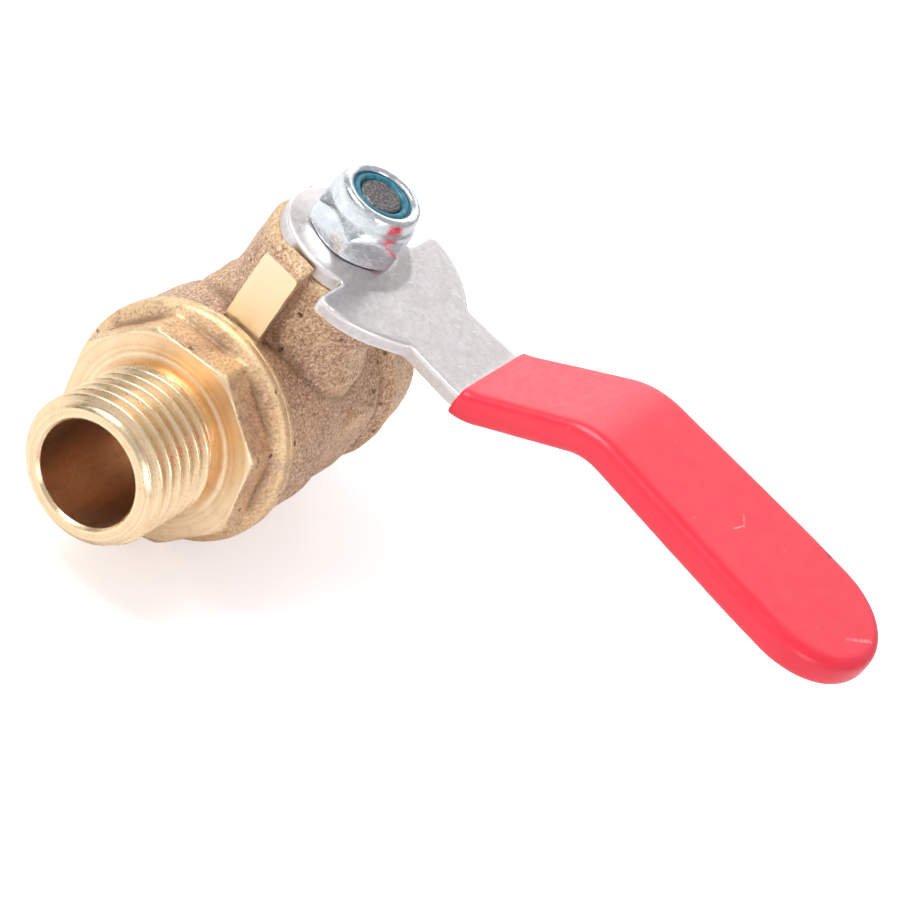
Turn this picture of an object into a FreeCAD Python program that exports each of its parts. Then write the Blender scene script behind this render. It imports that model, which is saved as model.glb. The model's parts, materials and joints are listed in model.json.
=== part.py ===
import FreeCAD, Part
import math
import os

# Quarter-turn brass ball valve: G 1/4 male inlet, G 1/4 female outlet, steel lever with a dipped grip.
# Millimetres. Shapes are built about the ball's centre: flow along X, male end towards -X,
# stem up +Z, and the lever across the flow towards -Y, which is the closed position.
# They are written with the origin at the centre of the female end face, so +X leaves that port.

V = FreeCAD.Vector
X_AXIS = V(1, 0, 0)
Z_AXIS = V(0, 0, 1)
CENTRE = V(0, 0, 0)
EDGE_BREAK = 0.25
BEYOND = 1.0

# Pipe thread G 1/4, 55 degree form, cut here as level rings
PIPE_MAJOR_R = 13.157 / 2
PIPE_MINOR_R = 11.445 / 2
PIPE_PITCH = 1.337
PIPE_LAND = 0.30
FLANK_SLOPE = math.tan(math.radians(27.5))

# Places along the flow
FEMALE_FACE_X = 14.0
MALE_FACE_X = -23.3
CAP_FACE_X = -13.6
JOINT_FACE_X = -8.4

# Flow passage and ball
PORT_BORE_R = 4.6
BALL_R = 6.5
BALL_BORE_R = 4.0
SLOT_W = 2.7
SLOT_FLOOR_Z = 4.6
CAVITY_R = 6.9

# Seats
SEAT_OUTER_R = 6.05
SEAT_BORE_R = 4.2
SEAT_FRONT = 4.25
SEAT_BACK = 6.65
SEAT_GAP = 0.03
POCKET_R = 6.1
POCKET_START = 4.2
POCKET_DEPTH = 6.7

# Body outside
BARREL_R = 10.1
BARREL_END_X = -2.3
NECK_X = 0.8
NECK_R = 9.3
GROOVE_X = 7.6
GROOVE_R = 8.85
SWELL_X = 9.2
SWELL_R = 9.65
MOUTH_X = 12.0
MOUTH_R = 8.95
MOUTH_EDGE_R = 8.7
FEMALE_THREAD_X = 7.6
FEMALE_TURNS = 4
FEMALE_MOUTH_R = PIPE_MAJOR_R + 0.25
PASSAGE_FUNNEL = 0.5

# Spanner flats, eight on the body and eight on the end cap
FLAT_COUNT = 8
ACROSS_FLATS = 18.0
FLATS_CORNER_R = 9.65
FLATS_LOW_R = 8.9
BODY_FLATS_START_X = 0.9
BODY_FLATS_END_X = GROOVE_X
BODY_FLATS_TAPER = 1.6
BODY_FLATS_TURN = 22.5
CAP_FLATS_TURN = 12.0
CAP_CHAMFER_R = 9.3
CAP_CHAMFER = 0.35

# End cap
CAP_CORE_R = 8.2
CAP_FILLET_R = 9.6
FLANGE_R = 10.55
FLANGE_EDGE_R = 10.3
FLANGE_FRONT_X = -9.9
MALE_THREAD_X = -22.35
MALE_TURNS = 6
MALE_ROOT_R = PIPE_MINOR_R + 0.1
RELIEF_R = 5.85
RELIEF_SLOPE = 0.3
PORT_FUNNEL = 1.2
CLOSURE_MAJOR_R = 8.5
CLOSURE_ROOT_R = 8.0
CLOSURE_START_X = -8.1
CLOSURE_PITCH = 1.0
CLOSURE_TURNS = 3
CLOSURE_LAND = 0.2
THREAD_GAP = 0.04
SPIGOT_END_X = -4.65
SEAL_SHOULDER_X = -4.2

# Stem tower and stops
TOWER_R = 6.5
TOWER_TOP_Z = 17.05
TOWER_FOOT_R = 7.3
TOWER_FOOT_Z = 8.2
TOWER_FLARE_Z = 11.0
TOWER_HOLLOW = V(TOWER_R + 0.22, 0, 9.5)
TOWER_EDGE = 0.45
STOP_TOP_Z = 18.3
STOP_ROOT_R = 3.5
STOP_ROOT_Z = 6.0
STOP_FOOT_Z = 9.0
STOP_EDGE = 0.2
FRONT_STOP_FACE_X = -8.2
FRONT_STOP_LOW_Y = -0.8
FRONT_STOP_HIGH_Y = 2.85
FRONT_STOP_OUTER_Z = 17.15
SIDE_STOP_LOW_X = 1.2
SIDE_STOP_HIGH_X = 3.0
SIDE_STOP_FACE_Y = 6.35
SIDE_STOP_TOP_Z = 17.65
STOP_INSIDE_R = 6.15

# Stem
STEM_R = 2.95
STEM_BORE_R = 3.0
COLLAR_R = 3.9
COLLAR_BORE_R = 3.96
COLLAR_LOW_Z = 6.95
COLLAR_TOP_Z = 8.1
WASHER_TOP_Z = 8.8
WASHER_GAP = 0.02
TANG_W = 2.6
TANG_LENGTH = 5.6
TANG_LOW_Z = 4.7
TANG_ROOT = 0.5
RING_SECTION_R = 0.42
RING_CENTRE_R = 2.55
RING_GROOVE_R = 2.1
RING_GROOVE_W = 1.1
RING_Z = (11.0, 13.0)
SHANK_TOP_Z = 17.6
FLATS_TOP_Z = 19.1
FLATS_HALF = 1.75
M5_MAJOR_R = 2.5
M5_ROOT_R = 2.05
M5_PITCH = 0.8
M5_START_Z = 19.2
M5_LAND = 0.12
M5_TURNS = 4
PILOT_R = 1.84
PILOT_EDGE = 0.15
STEM_TOP_Z = 23.75

# Lock nut
NUT_FLAT_COUNT = 6
NUT_LOW_Z = 19.12
NUT_AF = 8.0
NUT_CORNER_R = 4.55
NUT_SEAT_R = 4.05
NUT_SEAT_CHAMFER = 0.3
NUT_TOP_CHAMFER = 0.75
NUT_TURN = 14.0
NUT_HEX_TOP_Z = 22.2
NUT_COLLAR_R = 3.76
NUT_CRIMP = ((0.5, 0.0), (0.15, 0.15), (0.0, 0.5))
NUT_TOP_Z = 24.05
NUT_LIP_R = 2.66
NUT_LIP_EDGE = 0.1
INSERT_R = 3.2
INSERT_BORE_R = 1.9
INSERT_LOW_Z = 22.85
INSERT_TOP_Z = 23.65
INSERT_EDGE = 0.2

# Lever plate
PLATE_T = 1.4
PLATE_LOW_Z = 17.06
HUB_R = 5.9
DOME_RISE = 0.6
DOME_TOP_R = 4.2
DOME_FOOT_R = HUB_R
DOME_WALL = 0.4
DOME_ROOT = 0.3
HUB_HOLE_GAP = 0.05
WING_EDGE_Y = -3.05
WING_CORNER_X = 9.0
WING_CORNER_R = 0.6
WING_FLANK = ((5.9, -9.5), (7.55, -7.6), (8.7, -5.4))
NECK_HALF_W = 4.75
NECK_Y = -10.6
GRIP_HALF_W = 6.1
GRIP_WIDE_Y = -44.0
TIP_Y = -54.2
RISE_START_Y = -15.7
RISE_ANGLE = 33.5
RISE_RUN = 7.5
GRIP_DROOP = 2.0
LOW_BEND_R = 4.0
HIGH_BEND_R = 6.0
SLAB_HALF_W = 20.0
OUTLINE_H = 60.0

# Dipped sleeve
SLEEVE_START_Y = -16.2
SLEEVE_SIDE_T = 0.7
SLEEVE_FACE_T = 0.75
SLEEVE_EDGE_R = 0.95


def revolved(outline, axis):
    """Solid of revolution from a closed outline of (along, radius) points about X or Z."""
    if axis == X_AXIS:
        points = [V(along, 0, radius) for along, radius in outline]
    else:
        points = [V(radius, 0, along) for along, radius in outline]
    face = Part.Face(Part.makePolygon(points + points[:1]))
    return face.revolve(CENTRE, axis, 360)


def thread_rings(start, pitch, turns, crest_r, root_r, land):
    """Outline of ring threads: level crest lands joined by valleys with sloping flanks."""
    flank = abs(crest_r - root_r) * FLANK_SLOPE
    outline = []
    for turn in range(turns):
        here = start + turn * pitch
        outline += [(here, crest_r), (here + land, crest_r)]
        outline += [(here + land + flank, root_r), (here + pitch - flank, root_r)]
    last = start + turns * pitch
    return outline + [(last, crest_r), (last + land, crest_r)]


def flats_prism(count, across_flats, turn, low, high, axis):
    """Regular prism about X or Z with `count` flats and a corner at the given turn in degrees."""
    corner = across_flats / 2 / math.cos(math.pi / count)
    points = []
    for k in range(count):
        angle = math.radians(turn) + 2 * math.pi * k / count
        u = corner * math.cos(angle)
        v = corner * math.sin(angle)
        points.append(V(low, u, v) if axis == X_AXIS else V(u, v, low))
    face = Part.Face(Part.makePolygon(points + points[:1]))
    return face.extrude(axis * (high - low))


def block(low, high):
    """Box between two opposite corners."""
    size = high - low
    return Part.makeBox(size.x, size.y, size.z, low)


# Body ---------------------------------------------------------------------------------------

def barrel():
    """Round barrel that narrows behind the ball, dips to a groove and swells into the mouth's collar."""
    outline = [
        (JOINT_FACE_X, 0), (JOINT_FACE_X, BARREL_R - EDGE_BREAK), (JOINT_FACE_X + EDGE_BREAK, BARREL_R),
        (BARREL_END_X, BARREL_R), (NECK_X, NECK_R), (GROOVE_X, GROOVE_R), (SWELL_X, SWELL_R),
        (MOUTH_X, MOUTH_R), (FEMALE_FACE_X, MOUTH_EDGE_R), (FEMALE_FACE_X, 0),
    ]
    return revolved(outline, X_AXIS)


def body_flats():
    """Eight spanner flats behind the barrel, their corners running down to the round at both ends."""
    low, high = BODY_FLATS_START_X, BODY_FLATS_END_X
    prism = flats_prism(FLAT_COUNT, ACROSS_FLATS, BODY_FLATS_TURN, low, high, X_AXIS)
    limit = [
        (low, 0), (low, FLATS_LOW_R), (low + BODY_FLATS_TAPER, FLATS_CORNER_R),
        (high - BODY_FLATS_TAPER, FLATS_CORNER_R), (high, FLATS_LOW_R), (high, 0),
    ]
    return prism.common(revolved(limit, X_AXIS))


def tower():
    """Stem tower with a flared foot that runs into the barrel."""
    base = V(TOWER_FOOT_R, 0, 0)
    foot = V(TOWER_FOOT_R, 0, TOWER_FOOT_Z)
    flare = V(TOWER_R, 0, TOWER_FLARE_Z)
    shoulder = V(TOWER_R, 0, TOWER_TOP_Z - TOWER_EDGE)
    top = V(TOWER_R - TOWER_EDGE, 0, TOWER_TOP_Z)
    crown = V(0, 0, TOWER_TOP_Z)
    edges = [
        Part.makeLine(CENTRE, base),
        Part.makeLine(base, foot),
        Part.Arc(foot, TOWER_HOLLOW, flare).toShape(),
        Part.makeLine(flare, shoulder),
        Part.makeLine(shoulder, top),
        Part.makeLine(top, crown),
        Part.makeLine(crown, CENTRE),
    ]
    return Part.Face(Part.Wire(edges)).revolve(CENTRE, Z_AXIS, 360)


def front_stop():
    """Stop post beside the male end, leaning on the tower, with its outside face milled flat."""
    face_x = FRONT_STOP_FACE_X
    side = [
        (-STOP_ROOT_R, STOP_ROOT_Z), (face_x + STOP_EDGE, STOP_ROOT_Z), (face_x, STOP_FOOT_Z),
        (face_x, FRONT_STOP_OUTER_Z - STOP_EDGE), (face_x + STOP_EDGE, FRONT_STOP_OUTER_Z),
        (-STOP_INSIDE_R - EDGE_BREAK, STOP_TOP_Z), (-STOP_INSIDE_R, STOP_TOP_Z),
        (-STOP_INSIDE_R, TOWER_TOP_Z), (-STOP_ROOT_R, TOWER_TOP_Z),
    ]
    points = [V(x, FRONT_STOP_LOW_Y, z) for x, z in side]
    face = Part.Face(Part.makePolygon(points + points[:1]))
    return face.extrude(V(0, FRONT_STOP_HIGH_Y - FRONT_STOP_LOW_Y, 0))


def side_stop():
    """Low lug a quarter turn round on the tower's rim, met by the lever when the valve is fully open."""
    side = [
        (SIDE_STOP_LOW_X, STOP_FOOT_Z), (SIDE_STOP_LOW_X, TOWER_TOP_Z),
        (SIDE_STOP_HIGH_X, SIDE_STOP_TOP_Z), (SIDE_STOP_HIGH_X, STOP_FOOT_Z),
    ]
    points = [V(x, STOP_ROOT_R, z) for x, z in side]
    lug = Part.Face(Part.makePolygon(points + points[:1])).extrude(V(0, SIDE_STOP_FACE_Y - STOP_ROOT_R, 0))
    hub_room = Part.makeCylinder(STOP_INSIDE_R, STOP_TOP_Z - TOWER_TOP_Z, V(0, 0, TOWER_TOP_Z))
    return lug.cut(hub_room)


def body_passage():
    """Everything cut from the body along the flow: closure thread, cavity, seat pocket, female thread."""
    closure = thread_rings(
        CLOSURE_START_X, CLOSURE_PITCH, CLOSURE_TURNS, CLOSURE_MAJOR_R + THREAD_GAP,
        CLOSURE_ROOT_R + THREAD_GAP, CLOSURE_LAND)
    female = thread_rings(
        FEMALE_THREAD_X, PIPE_PITCH, FEMALE_TURNS, PIPE_MINOR_R, PIPE_MAJOR_R, PIPE_LAND)
    female_end = female[-1][0]
    outline = [(JOINT_FACE_X - BEYOND, 0), (JOINT_FACE_X - BEYOND, CLOSURE_MAJOR_R + THREAD_GAP)]
    outline += closure
    outline += [
        (SEAL_SHOULDER_X, CLOSURE_MAJOR_R + THREAD_GAP), (SEAL_SHOULDER_X, CAVITY_R),
        (POCKET_START, CAVITY_R), (POCKET_START, POCKET_R), (POCKET_DEPTH, POCKET_R),
        (POCKET_DEPTH, SEAT_BORE_R), (FEMALE_THREAD_X - PASSAGE_FUNNEL, SEAT_BORE_R),
        (FEMALE_THREAD_X, PIPE_MINOR_R),
    ]
    outline += female[1:]
    outline += [
        (female_end + FEMALE_MOUTH_R - PIPE_MINOR_R, FEMALE_MOUTH_R),
        (FEMALE_FACE_X + BEYOND, FEMALE_MOUTH_R), (FEMALE_FACE_X + BEYOND, 0),
    ]
    return revolved(outline, X_AXIS)


def stem_bore():
    """Stem hole through the tower, with a counterbore from below for the collar and its washer."""
    bore = Part.makeCylinder(STEM_BORE_R, STOP_TOP_Z)
    return bore.fuse(Part.makeCylinder(COLLAR_BORE_R, WASHER_TOP_Z))


def body():
    solid = barrel().fuse([body_flats(), tower(), front_stop(), side_stop()])
    return solid.cut([body_passage(), stem_bore()]).removeSplitter()


# End cap ------------------------------------------------------------------------------------

def end_cap():
    """Male end: pipe thread, spanner flats, flange and the threaded spigot that closes the body."""
    pipe = thread_rings(
        MALE_THREAD_X, PIPE_PITCH, MALE_TURNS, PIPE_MAJOR_R, MALE_ROOT_R, PIPE_LAND)
    closure = thread_rings(
        CLOSURE_START_X, CLOSURE_PITCH, CLOSURE_TURNS, CLOSURE_MAJOR_R, CLOSURE_ROOT_R, CLOSURE_LAND)
    face_ring_r = PIPE_MAJOR_R - (MALE_THREAD_X - MALE_FACE_X)
    outline = [(MALE_FACE_X, 0), (MALE_FACE_X, face_ring_r)] + pipe
    outline += [
        (pipe[-1][0] + RELIEF_SLOPE, RELIEF_R), (CAP_FACE_X, RELIEF_R), (CAP_FACE_X, CAP_CORE_R),
        (FLANGE_FRONT_X - 2 * EDGE_BREAK, CAP_CORE_R), (FLANGE_FRONT_X - EDGE_BREAK, CAP_FILLET_R),
        (FLANGE_FRONT_X, FLANGE_EDGE_R), (FLANGE_FRONT_X + EDGE_BREAK, FLANGE_R),
        (JOINT_FACE_X - EDGE_BREAK, FLANGE_R), (JOINT_FACE_X, FLANGE_R - EDGE_BREAK),
        (JOINT_FACE_X, CLOSURE_MAJOR_R),
    ]
    outline += closure
    outline += [(SPIGOT_END_X, CLOSURE_MAJOR_R), (SPIGOT_END_X, 0)]
    solid = revolved(outline, X_AXIS)
    prism = flats_prism(
        FLAT_COUNT, ACROSS_FLATS, CAP_FLATS_TURN, CAP_FACE_X, FLANGE_FRONT_X, X_AXIS)
    limit = [
        (CAP_FACE_X, 0), (CAP_FACE_X, CAP_CHAMFER_R), (CAP_FACE_X + CAP_CHAMFER, FLATS_CORNER_R),
        (FLANGE_FRONT_X, FLATS_CORNER_R), (FLANGE_FRONT_X, 0),
    ]
    flats = prism.common(revolved(limit, X_AXIS))
    passage = [
        (MALE_FACE_X - BEYOND, 0), (MALE_FACE_X - BEYOND, PORT_BORE_R + EDGE_BREAK),
        (MALE_FACE_X, PORT_BORE_R + EDGE_BREAK), (MALE_FACE_X + EDGE_BREAK, PORT_BORE_R),
        (-POCKET_DEPTH - PORT_FUNNEL, PORT_BORE_R), (-POCKET_DEPTH, SEAT_BORE_R),
        (-POCKET_DEPTH, POCKET_R), (SPIGOT_END_X + BEYOND, POCKET_R), (SPIGOT_END_X + BEYOND, 0),
    ]
    return solid.fuse(flats).cut(revolved(passage, X_AXIS)).removeSplitter()


# Inside pieces ------------------------------------------------------------------------------

def ball():
    """Ball with its bore across the flow (closed) and the stem's slot along the flow."""
    solid = Part.makeSphere(BALL_R)
    bore = Part.makeCylinder(BALL_BORE_R, 4 * BALL_R, V(0, -2 * BALL_R, 0), V(0, 1, 0))
    slot = block(V(-BALL_R, -SLOT_W / 2, SLOT_FLOOR_Z), V(BALL_R, SLOT_W / 2, BALL_R + BEYOND))
    return solid.cut([bore, slot])


def seat(side):
    """Seat ring on one side of the ball, dished to the ball's radius."""
    outline = [
        (SEAT_FRONT, SEAT_BORE_R), (SEAT_FRONT, SEAT_OUTER_R), (SEAT_BACK, SEAT_OUTER_R),
        (SEAT_BACK, SEAT_BORE_R),
    ]
    ring = revolved([(side * along, radius) for along, radius in outline], X_AXIS)
    return ring.cut(Part.makeSphere(BALL_R + SEAT_GAP))


def body_seal():
    """Flat ring squeezed between the end cap's spigot and the body's shoulder."""
    low = SPIGOT_END_X + WASHER_GAP
    high = SEAL_SHOULDER_X - WASHER_GAP
    outline = [(low, CAVITY_R), (low, CLOSURE_MAJOR_R), (high, CLOSURE_MAJOR_R), (high, CAVITY_R)]
    return revolved(outline, X_AXIS)


# Stem ---------------------------------------------------------------------------------------

def m5_rings(gap):
    """Outline of the M5 thread above the stem's flats, grown by a radial gap for the nut."""
    return thread_rings(
        M5_START_Z, M5_PITCH, M5_TURNS, M5_MAJOR_R + gap, M5_ROOT_R + gap, M5_LAND)


def stem():
    """Stem pushed up from inside: tang, collar, two ring grooves, flats, M5 thread and a plain end."""
    groove = RING_GROOVE_W / 2
    outline = [
        (COLLAR_LOW_Z, 0), (COLLAR_LOW_Z, COLLAR_R), (COLLAR_TOP_Z, COLLAR_R), (COLLAR_TOP_Z, STEM_R),
    ]
    for ring_z in RING_Z:
        outline += [(ring_z - groove, STEM_R), (ring_z - groove, RING_GROOVE_R)]
        outline += [(ring_z + groove, RING_GROOVE_R), (ring_z + groove, STEM_R)]
    outline += [(SHANK_TOP_Z, STEM_R), (SHANK_TOP_Z, M5_MAJOR_R)]
    rings = m5_rings(0)
    outline += rings
    outline += [
        (rings[-1][0] + PILOT_EDGE, PILOT_R), (STEM_TOP_Z - PILOT_EDGE, PILOT_R),
        (STEM_TOP_Z, PILOT_R - PILOT_EDGE), (STEM_TOP_Z, 0),
    ]
    solid = revolved(outline, Z_AXIS)
    for side in (-1, 1):
        flat = block(V(-STEM_R, -STEM_R, SHANK_TOP_Z), V(STEM_R, STEM_R, FLATS_TOP_Z))
        flat.translate(V(side * (FLATS_HALF + STEM_R), 0, 0))
        solid = solid.cut(flat)
    tang = block(
        V(-TANG_LENGTH / 2, -TANG_W / 2, TANG_LOW_Z),
        V(TANG_LENGTH / 2, TANG_W / 2, COLLAR_LOW_Z + TANG_ROOT))
    return solid.fuse(tang).removeSplitter()


def thrust_washer():
    """Washer between the stem's collar and the body, which carries the pressure on the stem."""
    thickness = WASHER_TOP_Z - COLLAR_TOP_Z - 2 * WASHER_GAP
    washer = Part.makeCylinder(COLLAR_R, thickness, V(0, 0, COLLAR_TOP_Z + WASHER_GAP))
    return washer.cut(Part.makeCylinder(STEM_R + WASHER_GAP, WASHER_TOP_Z))


def stem_rings():
    """The two O-rings that seal the stem."""
    return Part.makeCompound([Part.makeTorus(RING_CENTRE_R, RING_SECTION_R, V(0, 0, z)) for z in RING_Z])


# Lock nut -----------------------------------------------------------------------------------

def lock_nut():
    """Hexagon nut with a crimped collar that holds a nylon ring."""
    prism = flats_prism(NUT_FLAT_COUNT, NUT_AF, NUT_TURN, NUT_LOW_Z, NUT_HEX_TOP_Z, Z_AXIS)
    limit = [
        (NUT_LOW_Z, 0), (NUT_LOW_Z, NUT_SEAT_R), (NUT_LOW_Z + NUT_SEAT_CHAMFER, NUT_CORNER_R),
        (NUT_HEX_TOP_Z - NUT_TOP_CHAMFER, NUT_CORNER_R), (NUT_HEX_TOP_Z, NUT_COLLAR_R),
        (NUT_HEX_TOP_Z, 0),
    ]
    collar = [(NUT_LOW_Z + BEYOND, 0), (NUT_LOW_Z + BEYOND, NUT_COLLAR_R)]
    collar += [(NUT_TOP_Z - drop, NUT_COLLAR_R - inset) for drop, inset in NUT_CRIMP]
    collar += [(NUT_TOP_Z, 0)]
    rings = m5_rings(THREAD_GAP)
    mouth_r = M5_MAJOR_R + THREAD_GAP
    hollow = [(NUT_LOW_Z - BEYOND, 0), (NUT_LOW_Z - BEYOND, mouth_r)] + rings
    hollow += [
        (INSERT_LOW_Z, mouth_r), (INSERT_LOW_Z, INSERT_R), (INSERT_TOP_Z, INSERT_R),
        (INSERT_TOP_Z, NUT_LIP_R + NUT_LIP_EDGE), (NUT_TOP_Z - NUT_LIP_EDGE, NUT_LIP_R),
        (NUT_TOP_Z + BEYOND, NUT_LIP_R), (NUT_TOP_Z + BEYOND, 0),
    ]
    solid = prism.common(revolved(limit, Z_AXIS)).fuse(revolved(collar, Z_AXIS))
    return solid.cut(revolved(hollow, Z_AXIS)).removeSplitter()


def nylon_insert():
    """Locking ring inside the nut's collar."""
    outline = [
        (INSERT_LOW_Z, INSERT_BORE_R), (INSERT_LOW_Z, INSERT_R), (INSERT_TOP_Z, INSERT_R),
        (INSERT_TOP_Z, INSERT_BORE_R + INSERT_EDGE), (INSERT_TOP_Z - INSERT_EDGE, INSERT_BORE_R),
    ]
    return revolved(outline, Z_AXIS)


# Lever --------------------------------------------------------------------------------------

def lever_band(half_t, end_y):
    """Wide slab bent like the lever: level hub, rise, drooping grip, half_t thick either side."""
    angle = math.radians(RISE_ANGLE)
    droop = math.radians(GRIP_DROOP)
    mid_z = PLATE_LOW_Z + PLATE_T / 2
    low_centre = V(0, RISE_START_Y, mid_z + LOW_BEND_R)
    rise_foot = V(0, RISE_START_Y - LOW_BEND_R * math.sin(angle),
                  mid_z + LOW_BEND_R * (1 - math.cos(angle)))
    rise_head = rise_foot + V(0, -RISE_RUN, RISE_RUN * math.tan(angle))
    high_centre = rise_head - V(0, HIGH_BEND_R * math.sin(angle), HIGH_BEND_R * math.cos(angle))

    def side(offset):
        """Points along one face of the strip: two ends, and start, middle and end of each bend."""
        low_r = LOW_BEND_R - offset
        high_r = HIGH_BEND_R + offset
        low = [low_centre + V(0, -low_r * math.sin(a), -low_r * math.cos(a))
               for a in (0, angle / 2, angle)]
        high = [high_centre + V(0, high_r * math.sin(a), high_r * math.cos(a))
                for a in (angle, (angle - droop) / 2, -droop)]
        end = V(0, end_y, high[2].z + (end_y - high[2].y) * math.tan(droop))
        return [V(0, HUB_R + BEYOND, low[0].z)] + low + high + [end]

    top = side(half_t)
    bottom = side(-half_t)
    edges = []
    for row in (top, bottom):
        edges += [
            Part.makeLine(row[0], row[1]), Part.Arc(row[1], row[2], row[3]).toShape(),
            Part.makeLine(row[3], row[4]), Part.Arc(row[4], row[5], row[6]).toShape(),
            Part.makeLine(row[6], row[7]),
        ]
    edges += [Part.makeLine(top[0], bottom[0]), Part.makeLine(top[7], bottom[7])]
    face = Part.Face(Part.Wire(Part.__sortEdges__(edges)))
    slab = face.extrude(V(2 * SLAB_HALF_W, 0, 0))
    slab.translate(V(-SLAB_HALF_W, 0, 0))
    return slab


def grip_outline(start_y, grow):
    """Flat outline of the strip from start_y to the rounded tip, grown outwards by `grow`."""
    neck = NECK_HALF_W + grow
    wide = GRIP_HALF_W + grow
    tip = TIP_Y - grow
    round_y = tip + wide
    shoulder = wide * math.sin(math.radians(45))
    edges = [
        Part.makeLine(V(-neck, start_y, 0), V(neck, start_y, 0)),
        Part.makeLine(V(neck, start_y, 0), V(wide, GRIP_WIDE_Y, 0)),
        Part.makeLine(V(wide, GRIP_WIDE_Y, 0), V(wide, round_y, 0)),
        Part.Arc(V(wide, round_y, 0), V(shoulder, round_y - shoulder, 0), V(0, tip, 0)).toShape(),
        Part.Arc(V(0, tip, 0), V(-shoulder, round_y - shoulder, 0), V(-wide, round_y, 0)).toShape(),
        Part.makeLine(V(-wide, round_y, 0), V(-wide, GRIP_WIDE_Y, 0)),
        Part.makeLine(V(-wide, GRIP_WIDE_Y, 0), V(-neck, start_y, 0)),
    ]
    return Part.Face(Part.Wire(edges)).extrude(V(0, 0, OUTLINE_H))


def wings():
    """Flat outline of the two wings whose straight edges meet the stops."""
    reach = WING_CORNER_X - WING_CORNER_R
    corner_y = WING_EDGE_Y - WING_CORNER_R
    bulge = WING_CORNER_R * math.sin(math.radians(45))
    flank = ((NECK_HALF_W, NECK_Y),) + WING_FLANK + ((WING_CORNER_X, corner_y),)
    edges = []
    for side in (-1, 1):
        curve = Part.BSplineCurve()
        curve.interpolate([V(side * x, y, 0) for x, y in flank])
        edges.append(curve.toShape())
        edges.append(Part.Arc(
            V(side * WING_CORNER_X, corner_y, 0), V(side * (reach + bulge), corner_y + bulge, 0),
            V(side * reach, WING_EDGE_Y, 0)).toShape())
    edges.append(Part.makeLine(V(-reach, WING_EDGE_Y, 0), V(reach, WING_EDGE_Y, 0)))
    edges.append(Part.makeLine(V(-NECK_HALF_W, NECK_Y, 0), V(NECK_HALF_W, NECK_Y, 0)))
    return Part.Face(Part.Wire(Part.__sortEdges__(edges))).extrude(V(0, 0, OUTLINE_H))


def handle_plate():
    """Pressed lever: hub disc with a shallow dome and flatted hole, two stop wings, bent grip strip."""
    flat = Part.makeCylinder(HUB_R, OUTLINE_H).fuse([wings(), grip_outline(NECK_Y + BEYOND / 2, 0)])
    plate = flat.common(lever_band(PLATE_T / 2, TIP_Y - BEYOND))
    top = PLATE_LOW_Z + PLATE_T
    dome = [
        (top - DOME_ROOT, 0), (top + DOME_RISE, 0), (top + DOME_RISE, DOME_TOP_R), (top, DOME_FOOT_R),
        (top - DOME_ROOT, DOME_FOOT_R),
    ]
    hollow = [
        (PLATE_LOW_Z - BEYOND, 0), (PLATE_LOW_Z + DOME_RISE, 0),
        (PLATE_LOW_Z + DOME_RISE, DOME_TOP_R - DOME_WALL), (PLATE_LOW_Z, DOME_FOOT_R - DOME_WALL),
        (PLATE_LOW_Z - BEYOND, DOME_FOOT_R - DOME_WALL),
    ]
    half = FLATS_HALF + HUB_HOLE_GAP
    hole = Part.makeCylinder(M5_MAJOR_R + HUB_HOLE_GAP, OUTLINE_H)
    hole = hole.common(block(V(-half, -HUB_R, 0), V(half, HUB_R, OUTLINE_H)))
    plate = plate.fuse(revolved(dome, Z_AXIS)).cut([revolved(hollow, Z_AXIS), hole])
    return plate.removeSplitter()


def handle_sleeve(plate):
    """Dipped vinyl sleeve, closed at the tip, with rounded long edges."""
    slab = lever_band(PLATE_T / 2 + SLEEVE_FACE_T, TIP_Y - SLEEVE_SIDE_T - BEYOND)
    sleeve = grip_outline(SLEEVE_START_Y, SLEEVE_SIDE_T).common(slab)
    long_edges = []
    for edge in sleeve.Edges:
        box = edge.BoundBox
        leaves_start = box.YMin < SLEEVE_START_Y - BEYOND
        upright = box.ZLength > box.XLength + box.YLength
        if leaves_start and not upright:
            long_edges.append(edge)
    return sleeve.makeFillet(SLEEVE_EDGE_R, long_edges).cut(plate)


def main():
    os.makedirs("parts", exist_ok=True)
    plate = handle_plate()
    pieces = {
        "body": body(),
        "end_cap": end_cap(),
        "ball": ball(),
        "seat_inlet": seat(-1),
        "seat_outlet": seat(1),
        "body_seal": body_seal(),
        "stem": stem(),
        "thrust_washer": thrust_washer(),
        "stem_rings": stem_rings(),
        "handle_plate": plate,
        "handle_sleeve": handle_sleeve(plate),
        "lock_nut": lock_nut(),
        "nylon_insert": nylon_insert(),
    }
    for name, shape in pieces.items():
        placed = shape.copy()
        placed.translate(V(-FEMALE_FACE_X, 0, 0))
        placed.exportStep("parts/" + name + ".step")


main()
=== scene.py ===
import json
import math

import bmesh
import bpy
import numpy as np
from mathutils import Matrix, Vector, noise


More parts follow.
